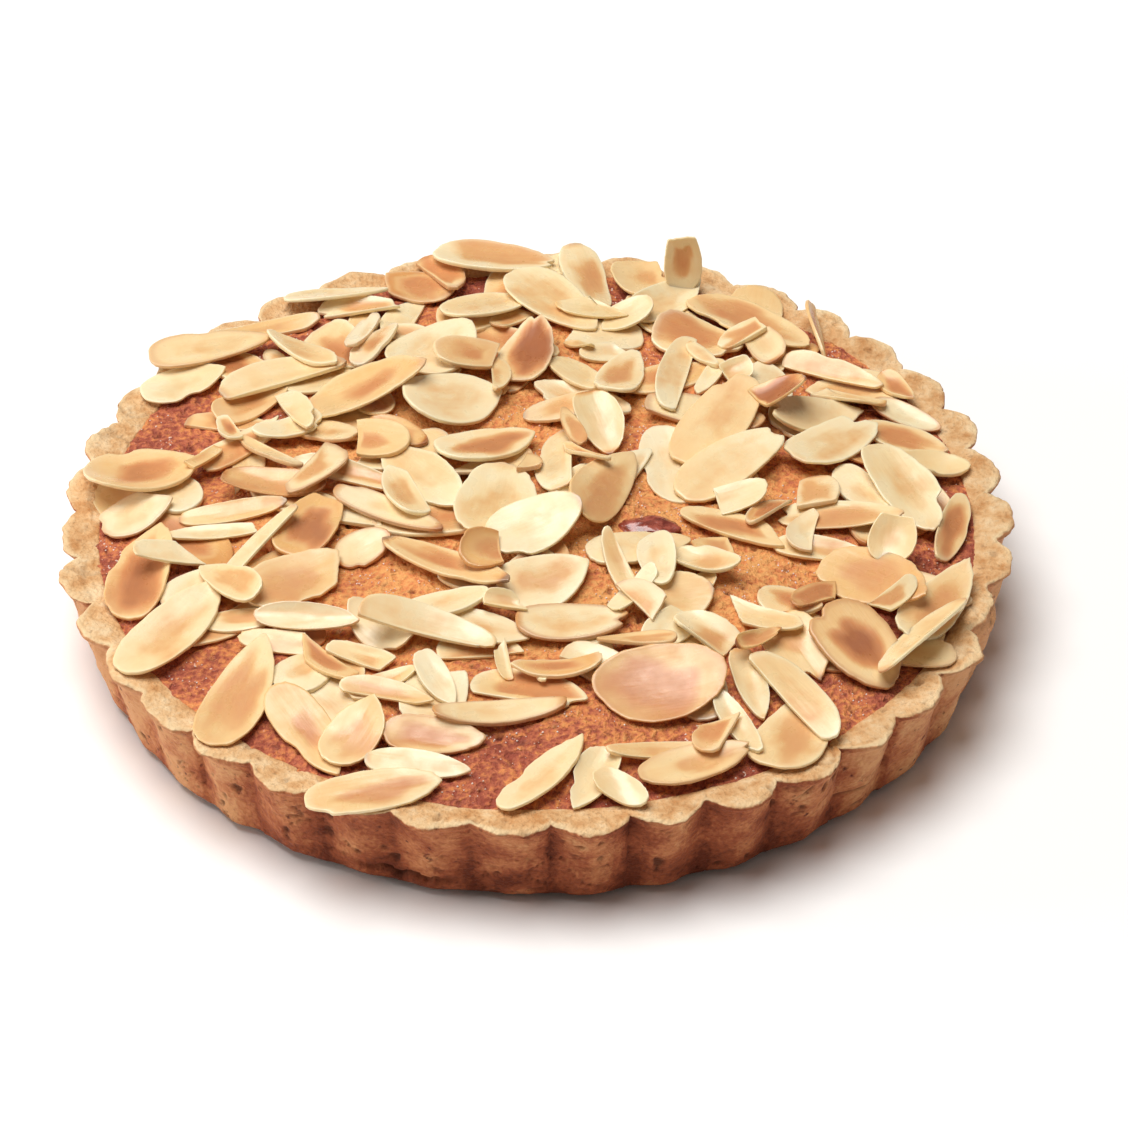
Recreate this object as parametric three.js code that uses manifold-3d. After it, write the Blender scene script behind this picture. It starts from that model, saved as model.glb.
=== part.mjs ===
// A round almond tart: a fluted pastry crust, and a domed almond filling with flaked almonds fused on top.
// Millimetres, +Z up, the underside of the crust centred on the origin. The photo looks along +Y.

import * as THREE from 'three';
import { mergeVertices } from 'three/addons/utils/BufferGeometryUtils.js';
import Module from 'manifold-3d';

const wasm = await Module();
wasm.setup();

// Crust
const RIM_RADIUS = 95; // to the tips of the flutes, at the lip
const BASE_RADIUS = 88.4; // to the tips of the flutes, at the foot
const CRUST_HEIGHT = 22;
const FLOOR_THICKNESS = 4.5;
const RIM_INNER_RADIUS = 86.5;
const FLOOR_INNER_RADIUS = 81.5;
const RIM_INNER_DROP = 0.6; // the rim's top falls this much towards the filling
const LIP_OVERHANG = 0.9;
const LIP_HEIGHT = 2.4;
const LIP_ROUNDING = 0.7;
const FOOT_ROUNDING = 1.2;

// Flutes
const FLUTE_COUNT = 38;
const FLUTE_DEPTH_RIM = 4.2;
const FLUTE_DEPTH_BASE = 1.1;
const FIRST_NOTCH_DEGREES = -2.9;
const FLUTE_SETBACK = 0.9; // how far a flute's tip may stand back from the full radius
const FLUTE_DEPTH_SPREAD = 0.25; // a flute may be this much deeper or shallower
const CHIPPED_FLUTE_DEGREES = -17; // one flute has lost its lip
const CHIP_DEPTH = 2.2;

// Filling
const FILLING_GAP = 0.3; // clear space between filling and crust
const EDGE_DROP = 0.4; // the filling's edge lies this far below the rim
const DOME_RISE = 6; // from the filling's edge to its middle
const FILLING_BUMPS = 0.7;

// Flaked almonds
const BED_SINK = 0.3; // how deep the lowest flakes are bedded in the filling
const TOP_SINK = 0.1; // how deep a flake is bedded in those under it
const STANDING_SINK = 1.2; // the same for a flake wedged on end
const FUSING_DEPTH = 0.9; // every flake is this much thicker underneath, to fuse with what it lies on
const RIM_CLEARANCE = 0.4; // space under a flake that reaches over the rim
const FLAKE_REACH = 94; // no flake reaches further out than this
const MAX_LEAN = 0.5; // steepest slope of a flake that lies down
const PILE_STEP = 1; // size of a cell of the height map that flakes are laid on
const PILE_ROW = 1000; // the cells are numbered, with this many in a row
const SPOT_SPACING = 0.7; // between the points of a flake that may touch what is under it
const BED_COUNT = 62;
const BED_RADIUS = 84;
const BED_JITTER = 3; // how far a flake of the bed may lie from its even place
const BED_LENGTH = [16, 25]; // shortest and longest
const BED_SLENDERNESS = [0.42, 0.6]; // width over length
const BED_BROKEN_SHARE = 0.35; // this share of the bed's flakes has a broken end or a split side
const TOP_BROKEN_SHARE = 0.12; // the same for the flakes on top
const BARE_MARGIN = 0.25; // a flake keeps this share of its length away from a bare patch
const SEED = 79;

// How single flakes vary, from the lowest to the highest value
const TAPER = [0.05, 0.32]; // how much narrower one end is
const BLUNTNESS = [0.72, 1]; // below 1, the ends are squarer than those of an ellipse
const MAX_POINT = 0.9; // how pointed the narrow end may be
const BREAK_PLACE = [0.35, 0.8]; // where an end is broken off, of half the length
const BREAK_SLANT = [-0.5, 0.5];
const SPLIT_PLACE = [0.1, 0.7]; // where a side is split off, of half the width
const BOW = [-0.15, 0.15]; // sideways bend, of half the width
const WIDEST = 1.3; // no outline reaches further to the side, of half the width
const CUP_LONG = [-0.3, 1.2]; // how far the ends curl up
const CUP_CROSS = [-0.2, 0.9]; // and how far the sides do
const TWIST = [-0.8, 0.8];
const CURL = [0.8, 2.4]; // most flakes are cupped and twisted little, and a few more than twice as much
const THICKNESS = [0.6, 1];

// Flakes that stand out on top: x, y, heading in degrees, length, width
const TOP_FLAKES = [
  [-20, 82, -60, 16, 9],
  [-36, 71, 0, 20, 6],
  [-56, 64, 17, 23, 6],
  [-72, 45, 20, 18, 10],
  [-58, 36, 38, 18, 8],
  [-42, 24, -30, 14, 8],
  [-28, 21, -25, 14, 8],
  [-79, 1, 30, 16, 11],
  [-60, -2, 2, 22, 5],
  [-62, -7, -2, 22, 4],
  [-44, -7, 65, 22, 11],
  [-54, -14, 50, 22, 6],
  [-34, -14, 30, 12, 9],
  [-66, -24, 30, 15, 10],
  [-57, -34, -5, 15, 6],
  [-44, -50, 45, 14, 11],
  [-10, -40, -10, 18, 9],
  [-17, -34, 15, 17, 8],
  [-29, -54, 28, 14, 5],
  [-19, -69, -3, 20, 8],
  [1, 83, 42, 16, 8],
  [9, 42, -50, 17, 8],
  [5, 29, 0, 16, 8],
  [13, 23, -70, 16, 9],
  [74, 26, -20, 18, 9],
  [79, 16, 20, 15, 10],
  [64, 5, -65, 19, 8],
  [82, -3, 75, 22, 6],
  [73, 42, -60, 12, 5],
  [36, -15, 20, 12, 8],
  [33, -22, -25, 15, 8],
  [56, -13, -8, 20, 6],
  [41, -54, -75, 18, 6],
  [28, -31, 10, 13, 12],
  [12, -50, -20, 15, 8],
  [24, -72, 13, 22, 4],
  [-9, 87, -10, 26, 11],
  [-42, 75, 8, 22, 8],
  [-67, 55, 17, 26, 10],
  [-41, 55, -60, 17, 11],
  [-21, 51, 60, 22, 17],
  [-11, 68, 28, 20, 12],
  [-2, 50, 78, 20, 12],
  [-52, 44, 28, 28, 11],
  [-17, 31, 18, 21, 15],
  [-34, 36, 8, 26, 15],
  [-58, 22, 40, 24, 7],
  [-79, 12, 10, 23, 18],
  [-52, 5, -5, 21, 9],
  [-36, 9, -25, 28, 5],
  [-22, 6, -50, 22, 11],
  [-10, 16, 20, 21, 12],
  [-8, -3, 80, 24, 16],
  [23, 82, 30, 15, 13],
  [10, 80, -75, 24, 9],
  [3, 70, -50, 26, 13],
  [27, 73, 42, 22, 9],
  [33, 58, -20, 19, 13],
  [44, 65, -38, 30, 12],
  [17, 42, 75, 20, 9],
  [29, 43, 80, 29, 9],
  [46, 40, 90, 22, 11],
  [60, 46, -23, 22, 8],
  [56, 30, 25, 22, 9],
  [60, 21, 45, 26, 11],
  [36, 24, 60, 28, 13],
  [38, 11, 42, 27, 12],
  [5, 11, 90, 25, 11],
  [13, 1, 68, 27, 11],
  [73, 5, -62, 25, 12],
  [60, -4, -5, 25, 8],
  [40, -8, -22, 25, 8],
  [20, -15, 15, 21, 10],
  [78, -28, 60, 27, 10],
  [66, -23, -35, 24, 14],
  [49, -30, -15, 13, 9],
  [50, -43, -60, 18, 12],
  [62, -43, -55, 22, 15],
  [49, -66, 65, 22, 13],
  [49, -58, -55, 26, 11],
  [38, -65, -62, 17, 5],
  [27, -39, 45, 17, 8],
  [24, -56, 8, 26, 17],
  [30, -76, 22, 23, 9],
  [2, -79, 50, 24, 8],
  [-1, -56, -15, 23, 11],
  [-7, -63, 8, 26, 7],
  [2, -26, 25, 19, 13],
  [0, -13, 20, 20, 13],
  [7, -38, 3, 22, 12],
  [-21, -43, -8, 27, 11],
  [-17, -22, -36, 30, 9],
  [-29, -5, -33, 26, 7],
  [-46, -24, 30, 23, 13],
  [-46, -42, -12, 23, 5],
  [-44, -37, -10, 21, 6],
  [-77, -17, 80, 28, 12],
  [-70, -37, 52, 28, 12],
  [-56, -55, 72, 30, 12],
  [-43, -66, -58, 25, 10],
  [-34, -68, 60, 17, 11],
  [-22, -76, -8, 20, 6],
  [-30, -83, 12, 26, 10],
  [-19, -54, -65, 15, 6],
  [16, -83, -35, 12, 6],
];

// Flakes wedged on end: the same values, then how steeply the length rises and the width leans, in degrees,
// and where the upper end is broken off, of half the length
const STANDING_FLAKES = [
  [30, 80, 95, 16, 8, 74, 8, 0.5],
  [57, 61, 100, 18, 6, 12, 66, 0.9],
  [74, -41, 53, 28, 8, 0, -32, 1],
  [70, -13, 75, 13, 9, 38, 0, 0.5],
];

// Places where the filling shows between the flakes: x, y, radius
const BARE_PATCHES = [
  [-74, 30, 6],
  [-58, 64, 4],
  [-67, -52, 8],
  [-84, -28, 5],
  [-32, -27, 7],
  [-12, -73, 8],
  [4, -69, 8],
  [17, -66, 7],
  [-6, 28, 5],
  [20, 22, 4],
  [50, 12, 4],
  [46, -18, 8],
  [12, -30, 4],
  [57, -62, 5],
];

// Mesh detail
const SEGMENTS_PER_FLUTE = 4;
const FILLING_SEGMENTS = 40;
const FILLING_RINGS = 6;
const FLAKE_CORNERS = 6;
const SMALLEST_EDGE = 0.05;

const radians = THREE.MathUtils.degToRad;
const lerp = THREE.MathUtils.lerp;
const clamp = THREE.MathUtils.clamp;
const smooth = THREE.MathUtils.smoothstep;

// Worked out from the sizes above
const flutePitch = (2 * Math.PI) / FLUTE_COUNT;
const firstNotch = radians(FIRST_NOTCH_DEGREES);
const fillingEdgeZ = CRUST_HEIGHT - EDGE_DROP;
const fillingRadius = RIM_INNER_RADIUS - 1.5 * FILLING_GAP;
const fillingFootRadius = FLOOR_INNER_RADIUS - 1.5 * FILLING_GAP;
const fillingFootZ = FLOOR_THICKNESS + FILLING_GAP;

// Seeded draws between 0 and 1, the same on every run
function makeRandom(seed) {
  let state = seed;
  return () => {
    state = (Math.imul(state, 1664525) + 1013904223) >>> 0;
    return state / 2 ** 32;
  };
}

// A ring of points round the Z axis, where place(angle) gives the radius and the height
function ringAround(segments, place, start = 0) {
  return Array.from({ length: segments }, (_, i) => {
    const angle = start + (i / segments) * 2 * Math.PI;
    const [radius, z] = place(angle);
    return new THREE.Vector3(radius * Math.cos(angle), radius * Math.sin(angle), z);
  });
}

// A closed solid from rings that all run counterclockwise, capped to a point below and a point above
function solidFromRings(rings, foot, head) {
  const count = rings[0].length;
  const points = [...rings.flat(), foot, head];
  const footIndex = points.length - 2;
  const headIndex = points.length - 1;
  const lastRing = (rings.length - 1) * count;
  const triangles = [];
  for (let i = 0; i < count; i++) {
    const next = (i + 1) % count;
    triangles.push(footIndex, next, i, headIndex, lastRing + i, lastRing + next);
    for (let row = 0; row < lastRing; row += count) {
      const above = row + count;
      triangles.push(row + i, row + next, above + next, row + i, above + next, above + i);
    }
  }
  return new THREE.BufferGeometry().setFromPoints(points).setIndex(triangles);
}

// Solids for joining and cutting, and back again
function toManifold(geometry) {
  const mesh = new wasm.Mesh({
    numProp: 3,
    vertProperties: new Float32Array(geometry.attributes.position.array),
    triVerts: new Uint32Array(geometry.index.array),
  });
  return new wasm.Manifold(mesh);
}

function toGeometry(manifold) {
  const mesh = manifold.getMesh();
  const geometry = new THREE.BufferGeometry();
  geometry.setAttribute('position', new THREE.BufferAttribute(mesh.vertProperties, 3));
  geometry.setIndex(new THREE.BufferAttribute(mesh.triVerts, 1));
  return mergeVertices(geometry, 1e-3);
}

// Pastry crust

const crustRandom = makeRandom(SEED);
const flutes = Array.from({ length: FLUTE_COUNT }, (_, i) => {
  const middle = FIRST_NOTCH_DEGREES + ((i + 0.5) * 360) / FLUTE_COUNT;
  const awayFromChip = Math.abs(((middle - CHIPPED_FLUTE_DEGREES + 540) % 360) - 180);
  return {
    setback: FLUTE_SETBACK * crustRandom(),
    depth: 1 + FLUTE_DEPTH_SPREAD * (2 * crustRandom() - 1),
    chip: awayFromChip < 180 / FLUTE_COUNT ? CHIP_DEPTH : 0,
  };
});

// Outer radius: the flutes meet in sharp notches at the rim and run out into soft waves at the foot
function crustRadius(angle, z) {
  const turn = (angle - firstNotch) / flutePitch + 1e-9;
  const index = Math.floor(turn);
  const flute = flutes[((index % FLUTE_COUNT) + FLUTE_COUNT) % FLUTE_COUNT];
  const across = 2 * (turn - index) - 1; // 0 at the flute's tip, -1 and 1 at its notches
  const tip = 1 - across ** 2;
  const rise = z / CRUST_HEIGHT;
  const wave = lerp(Math.sin((across * Math.PI) / 2) ** 2, across ** 2, rise);
  const depth = flute.depth * lerp(FLUTE_DEPTH_BASE, FLUTE_DEPTH_RIM, rise);
  const lip = smooth(z, CRUST_HEIGHT - LIP_HEIGHT, CRUST_HEIGHT - LIP_ROUNDING);
  const foot = 1 - smooth(z, 0, FOOT_ROUNDING);
  const straight = lerp(BASE_RADIUS, RIM_RADIUS - LIP_OVERHANG, rise);
  const outward = lip * (LIP_OVERHANG - flute.chip * tip);
  return straight + outward - foot * FOOT_ROUNDING - flute.setback * tip - depth * wave;
}

function pastryCrust() {
  const segments = FLUTE_COUNT * SEGMENTS_PER_FLUTE;
  const ring = (place) => ringAround(segments, place, firstNotch);
  const lipZ = CRUST_HEIGHT - LIP_HEIGHT;
  const heights = [0, FOOT_ROUNDING, lipZ / 2, lipZ, CRUST_HEIGHT - LIP_ROUNDING];
  const wall = heights.map((z) => ring((angle) => [crustRadius(angle, z), z]));
  const rimOuter = ring((angle) => [crustRadius(angle, CRUST_HEIGHT) - LIP_ROUNDING, CRUST_HEIGHT]);
  const rimInner = ring(() => [RIM_INNER_RADIUS, CRUST_HEIGHT - RIM_INNER_DROP]);
  const floorEdge = ring(() => [FLOOR_INNER_RADIUS, FLOOR_THICKNESS]);
  const foot = new THREE.Vector3(0, 0, 0);
  const head = new THREE.Vector3(0, 0, FLOOR_THICKNESS);
  return solidFromRings([...wall, rimOuter, rimInner, floorEdge], foot, head);
}

// Almond filling

// Top of the baked filling: a low dome with soft bumps
function fillingHeight(x, y) {
  const out = Math.min(1, Math.hypot(x, y) / fillingRadius);
  const bumps = Math.sin(x / 9 + 1) * Math.cos(y / 11) + Math.sin((x + y) / 7) * Math.cos((x - 2 * y) / 15);
  return fillingEdgeZ + DOME_RISE * (1 - out ** 2) + FILLING_BUMPS * bumps * (1 - out ** 6);
}

function fillingCore() {
  const ring = (place) => ringAround(FILLING_SEGMENTS, place);
  const rings = [ring(() => [fillingFootRadius, fillingFootZ])];
  for (let i = FILLING_RINGS; i > 0; i--) {
    const radius = (fillingRadius * i) / FILLING_RINGS;
    rings.push(ring((a) => [radius, fillingHeight(radius * Math.cos(a), radius * Math.sin(a))]));
  }
  const foot = new THREE.Vector3(0, 0, fillingFootZ);
  const head = new THREE.Vector3(0, 0, fillingHeight(0, 0));
  return solidFromRings(rings, foot, head);
}

// The room that filling and flakes may take up: inside the crust, and above its rim
function fillingRoom() {
  const ceiling = 3 * CRUST_HEIGHT;
  const overRim = CRUST_HEIGHT + FILLING_GAP;
  const profile = [
    [FLOOR_INNER_RADIUS - FILLING_GAP, fillingFootZ - FILLING_GAP / 2],
    [RIM_INNER_RADIUS - FILLING_GAP, CRUST_HEIGHT - RIM_INNER_DROP],
    [RIM_INNER_RADIUS - FILLING_GAP, overRim],
    [FLAKE_REACH, overRim],
    [FLAKE_REACH, ceiling],
  ];
  const rings = profile.map((place) => ringAround(2 * FILLING_SEGMENTS, () => place));
  const foot = new THREE.Vector3(0, 0, profile[0][1]);
  const head = new THREE.Vector3(0, 0, ceiling);
  return solidFromRings(rings, foot, head);
}

// Flaked almonds

// How a single flake is shaped: one end narrow or pointed, perhaps broken or split, cupped and twisted
function drawShape(random, brokenShare) {
  const draw = (range) => lerp(...range, random());
  const curl = lerp(...CURL, random() ** 3);
  return {
    taper: draw(TAPER),
    blunt: draw(BLUNTNESS),
    point: MAX_POINT * random() ** 2,
    cut: random() < brokenShare ? draw(BREAK_PLACE) : 2,
    slant: draw(BREAK_SLANT),
    split: random() < brokenShare ? draw(SPLIT_PLACE) : 2,
    bow: draw(BOW),
    cupLong: curl * draw(CUP_LONG),
    cupCross: curl * draw(CUP_CROSS),
    twist: curl * draw(TWIST),
    thickness: draw(THICKNESS),
  };
}

// Half the width at a place along a flake, both from -1 to 1
function halfWidth(flake, along) {
  const round = Math.sqrt(Math.max(0, 1 - along ** 2));
  return (1 - flake.taper * along) * round ** (flake.blunt + flake.point * Math.max(0, along));
}

function outlinePoint(flake, angle) {
  const along = Math.cos(angle);
  const across = Math.max(Math.sign(Math.sin(angle)) * halfWidth(flake, along), -flake.split);
  return [Math.min(along, flake.cut + flake.slant * across), across + flake.bow * along ** 2];
}

function insideOutline(flake, along, across) {
  const straight = across - flake.bow * along ** 2;
  const broken = along > flake.cut + flake.slant * straight || straight < -flake.split;
  return !broken && Math.abs(along) < 1 && Math.abs(straight) < halfWidth(flake, along);
}

function bend(flake, along, across) {
  return flake.cupLong * along ** 2 + flake.cupCross * across ** 2 + flake.twist * along * across;
}

// A point of the flake in its own frame: side is 1 on the upper face and -1 on the lower face
function flakePoint(flake, along, across, side) {
  const z = bend(flake, along, across) + (side * flake.thickness) / 2;
  return new THREE.Vector3((along * flake.length) / 2, (across * flake.width) / 2, z);
}

function turned(heading, pitch, roll) {
  return new THREE.Matrix4().makeRotationFromEuler(new THREE.Euler(roll, -pitch, heading, 'ZYX'));
}

// The pile is a height map: a height for each cell that a flake covers
function cellAt(x, y) {
  return PILE_ROW * Math.round(x / PILE_STEP) + Math.round(y / PILE_STEP);
}

function pileHeight(pile, x, y) {
  const overFilling = Math.hypot(x, y) < fillingRadius;
  const base = overFilling ? fillingHeight(x, y) : CRUST_HEIGHT + RIM_CLEARANCE;
  return Math.max(base, pile.get(cellAt(x, y)) ?? base);
}

// Points spread over a flake, as places along and across it
function flakeSpots(flake) {
  const spots = [];
  for (let along = -1; along < 1; along += SPOT_SPACING / (flake.length / 2)) {
    for (let across = -WIDEST; across < WIDEST; across += SPOT_SPACING / (flake.width / 2)) {
      if (insideOutline(flake, along, across)) spots.push([along, across]);
    }
  }
  return spots;
}

// Of all the ways a flake may lean, the one that lets its middle lie lowest, as two angles
function lowestLean(flake, pile) {
  const flat = turned(radians(flake.heading), 0, 0);
  const spots = flakeSpots(flake).map(([along, across]) => {
    const p = flakePoint(flake, along, across, -1);
    const place = p.clone().applyMatrix4(flat);
    return [p.x, p.y, pileHeight(pile, flake.x + place.x, flake.y + place.y) - p.z];
  });
  const heightAt = (rise, lean) => {
    return spots.reduce((height, [x, y, z]) => Math.max(height, z - rise * x - lean * y), -Infinity);
  };
  let best = [0, 0];
  let lowest = heightAt(0, 0);
  for (let step = MAX_LEAN / 2; step > 0.01; step *= 0.6) {
    for (let angle = 0; angle < 2 * Math.PI; angle += Math.PI / 4) {
      const rise = clamp(best[0] + step * Math.cos(angle), -MAX_LEAN, MAX_LEAN);
      const lean = clamp(best[1] + step * Math.sin(angle), -MAX_LEAN, MAX_LEAN);
      const height = heightAt(rise, lean);
      if (height < lowest) {
        lowest = height;
        best = [rise, lean];
      }
    }
  }
  return best.map(Math.atan);
}

// Drop a flake that is turned that way until it touches, and add it to the pile
function settle(flake, pitch, roll, pile) {
  flake.turn = turned(radians(flake.heading), pitch, roll);
  const spots = flakeSpots(flake);
  flake.z = -Infinity;
  for (const [along, across] of spots) {
    const p = flakePoint(flake, along, across, -1).applyMatrix4(flake.turn);
    flake.z = Math.max(flake.z, pileHeight(pile, flake.x + p.x, flake.y + p.y) - p.z - flake.sink);
  }
  for (const [along, across] of spots) {
    const p = flakePoint(flake, along, across, 1).applyMatrix4(flake.turn);
    const cell = cellAt(flake.x + p.x, flake.y + p.y);
    pile.set(cell, Math.max(pile.get(cell) ?? 0, flake.z + p.z));
  }
}

// The bed: flakes spread evenly on a sunflower spiral, with the bare patches left free
function drawBed(random) {
  const goldenAngle = Math.PI * (3 - Math.sqrt(5));
  const bed = [];
  for (let i = 0; i < BED_COUNT; i++) {
    const out = BED_RADIUS * Math.sqrt((i + 0.5) / BED_COUNT);
    const length = lerp(...BED_LENGTH, random());
    const flake = {
      x: out * Math.cos(i * goldenAngle) + lerp(-BED_JITTER, BED_JITTER, random()),
      y: out * Math.sin(i * goldenAngle) + lerp(-BED_JITTER, BED_JITTER, random()),
      heading: 360 * random(),
      length,
      width: length * lerp(...BED_SLENDERNESS, random()),
      sink: BED_SINK,
      ...drawShape(random, BED_BROKEN_SHARE),
    };
    const margin = BARE_MARGIN * length;
    const bare = ([x, y, radius]) => Math.hypot(flake.x - x, flake.y - y) < radius + margin;
    if (!BARE_PATCHES.some(bare)) bed.push(flake);
  }
  return bed;
}

function layOutFlakes() {
  const random = makeRandom(SEED + 1);
  const pile = new Map();
  const lying = drawBed(random);
  for (const [x, y, heading, length, width] of TOP_FLAKES) {
    const shape = drawShape(random, TOP_BROKEN_SHARE);
    lying.push({ x, y, heading, length, width, sink: TOP_SINK, ...shape });
  }
  for (const flake of lying) {
    settle(flake, ...lowestLean(flake, pile), pile);
  }
  const standing = [];
  for (const [x, y, heading, length, width, pitch, roll, cut] of STANDING_FLAKES) {
    const shape = { ...drawShape(random, 0), cut, slant: 0 };
    const flake = { x, y, heading, length, width, sink: STANDING_SINK, ...shape };
    settle(flake, radians(pitch), radians(roll), pile);
    standing.push(flake);
  }
  return [...lying, ...standing];
}

function flakeSolid(flake) {
  const place = new THREE.Matrix4().makeTranslation(flake.x, flake.y, flake.z).multiply(flake.turn);
  const deeper = new THREE.Vector3(0, 0, -FUSING_DEPTH);
  const upper = ([along, across]) => flakePoint(flake, along, across, 1).applyMatrix4(place);
  const lower = ([along, across]) => flakePoint(flake, along, across, -1).applyMatrix4(place).add(deeper);
  const angles = Array.from({ length: FLAKE_CORNERS }, (_, i) => (i / FLAKE_CORNERS) * 2 * Math.PI);
  const outline = angles.map((angle) => outlinePoint(flake, angle));
  return solidFromRings([outline.map(lower), outline.map(upper)], lower([0, 0]), upper([0, 0]));
}

// Filling and flakes in one body, clear of the crust: scraps and sealed hollows are left out
function almondFilling() {
  let solid = toManifold(fillingCore());
  for (const flake of layOutFlakes()) {
    solid = solid.add(toManifold(flakeSolid(flake)));
  }
  solid = solid.intersect(toManifold(fillingRoom()));
  const bodies = solid.simplify(SMALLEST_EDGE).decompose();
  bodies.sort((a, b) => b.volume() - a.volume());
  return toGeometry(bodies[0]);
}

// The tart

function part(name, geometry, color, roughness) {
  const material = new THREE.MeshStandardMaterial({ color, roughness, metalness: 0 });
  const mesh = new THREE.Mesh(geometry, material);
  mesh.name = name;
  return mesh;
}

const tart = new THREE.Group();
tart.add(part('pastry_crust', pastryCrust(), 0xc9935f, 0.85));
tart.add(part('almond_filling', almondFilling(), 0xe0b277, 0.65));

export default tart;
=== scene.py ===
"""The look of a round almond tart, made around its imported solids.

Sizes are in millimetres until a mesh is made. The frame is the part's own: +Z up, the origin under the
middle of the tart, and the photo looks along +Y.
"""

import math
from types import SimpleNamespace

import bpy
from mathutils import Euler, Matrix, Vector, noise


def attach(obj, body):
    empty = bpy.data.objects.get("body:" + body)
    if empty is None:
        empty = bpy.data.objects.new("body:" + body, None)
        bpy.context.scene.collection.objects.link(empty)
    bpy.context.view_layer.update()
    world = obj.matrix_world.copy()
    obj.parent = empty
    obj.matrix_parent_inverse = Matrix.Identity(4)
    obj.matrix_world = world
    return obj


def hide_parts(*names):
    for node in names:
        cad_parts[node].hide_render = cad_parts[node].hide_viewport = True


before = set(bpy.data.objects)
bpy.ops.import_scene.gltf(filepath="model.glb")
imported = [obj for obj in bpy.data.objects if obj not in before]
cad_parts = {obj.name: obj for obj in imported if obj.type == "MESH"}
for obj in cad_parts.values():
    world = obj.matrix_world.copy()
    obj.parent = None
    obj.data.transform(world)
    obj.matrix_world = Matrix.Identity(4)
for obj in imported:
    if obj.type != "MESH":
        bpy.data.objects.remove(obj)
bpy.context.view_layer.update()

MM = 0.001  # metres

# Crust, as in the solids
RIM_RADIUS = 95.0
BASE_RADIUS = 88.4
CRUST_HEIGHT = 22.0
FLOOR_THICKNESS = 4.5
RIM_INNER_RADIUS = 86.5
FLOOR_INNER_RADIUS = 81.5
RIM_INNER_DROP = 0.6
LIP_OVERHANG = 0.9
LIP_HEIGHT = 2.4
LIP_ROUNDING = 0.7
FOOT_ROUNDING = 1.2

# Flutes, as in the solids
FLUTE_COUNT = 38
FLUTE_DEPTH_RIM = 4.2
FLUTE_DEPTH_BASE = 1.1
FIRST_NOTCH_DEGREES = -2.9
FLUTE_SETBACK = 0.9
FLUTE_DEPTH_SPREAD = 0.25
CHIPPED_FLUTE_DEGREES = -17
CHIP_DEPTH = 2.2

# Filling, as in the solids
FILLING_GAP = 0.3
EDGE_DROP = 0.4
DOME_RISE = 6.0
FILLING_BUMPS = 0.7

# Flaked almonds, as in the solids
BED_SINK = 0.3
TOP_SINK = 0.1
STANDING_SINK = 1.2
RIM_CLEARANCE = 0.4
MAX_LEAN = 0.5
LEAN_DIRECTIONS = 8  # tried at each step of the search for the lowest lean
LEAN_STEP_SHRINK = 0.6
LAST_LEAN_STEP = 0.01
PILE_STEP = 1.0
SPOT_SPACING = 0.7
BED_COUNT = 62
BED_RADIUS = 84.0
BED_JITTER = 3
BED_LENGTH = (16, 25)
BED_SLENDERNESS = (0.42, 0.6)
BED_BROKEN_SHARE = 0.35
TOP_BROKEN_SHARE = 0.12
BARE_MARGIN = 0.25
SEED = 79

# Seeds, one for each kind of draw. The first two are those behind the solids.
FLUTE_SEED = SEED
FLAKE_SEED = SEED + 1
BIT_SEED = SEED + 2
FLAKE_LOOK_SEED = SEED + 3
BIT_LOOK_SEED = SEED + 4
GRAIN_SEED = SEED + 5
UNDER_SEED = SEED + 6

# How single flakes vary, as in the solids
TAPER = (0.05, 0.32)
BLUNTNESS = (0.72, 1)
MAX_POINT = 0.9
BREAK_PLACE = (0.35, 0.8)
BREAK_SLANT = (-0.5, 0.5)
SPLIT_PLACE = (0.1, 0.7)
BOW = (-0.15, 0.15)
WIDEST = 1.3
CUP_LONG = (-0.3, 1.2)
CUP_CROSS = (-0.2, 0.9)
TWIST = (-0.8, 0.8)
CURL = (0.8, 2.4)
THICKNESS = (0.6, 1)
UNBROKEN = 2  # a cut or split that is past every outline

# How single flakes are toasted and torn, from the lowest to the highest value
HEART_SHIFT = (-0.3, 0.3)  # how far the heart lies off the middle
HEART_SIZE = (0.5, 0.8)
HEART_BLUR = (0.25, 0.5)
HEART_WANDER = 0.35
HEART_DIP = 0.14
RAW_HEART = 0.16  # browning of the heart without toasting
HEART_TOAST = (0.45, 0.95)  # and how much more it has when toasted
RAW_GOLD = 0.18  # the same two for the flesh, which browns least where the heart browns most
GOLD_TOAST = (0.6, 0.2)
GOLD_RISE = (-0.12, 0.12)  # how much browner one end is than the middle
DARK_TIP = (0.3, 0.9)
DARK_TIP_SHARE = 0.35
NARROW_TIP_START = 0.78  # where the tips begin, of half the length
WIDE_TIP_START = 0.85
PALE_EDGE = (-0.4, 1)  # below 0, the edge is brown; above 0 it is pale, partly as painted highlight
PALE_EDGE_START = 0.8  # where the edge begins, of the way out from the middle
RIPPLE_HEIGHT = 0.08
RIPPLE_LENGTH = 5
RIPPLE_WIDTH = 1.6
RAG = (0.02, 0.07)
BITE = (0.06, 0.2)  # depth of a nick in the outline
BITE_SHARE = 0.45
BITE_SPAN = (0.05, 0.3)  # a nick is full up to the first angle and ends at the second, in radians

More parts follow.
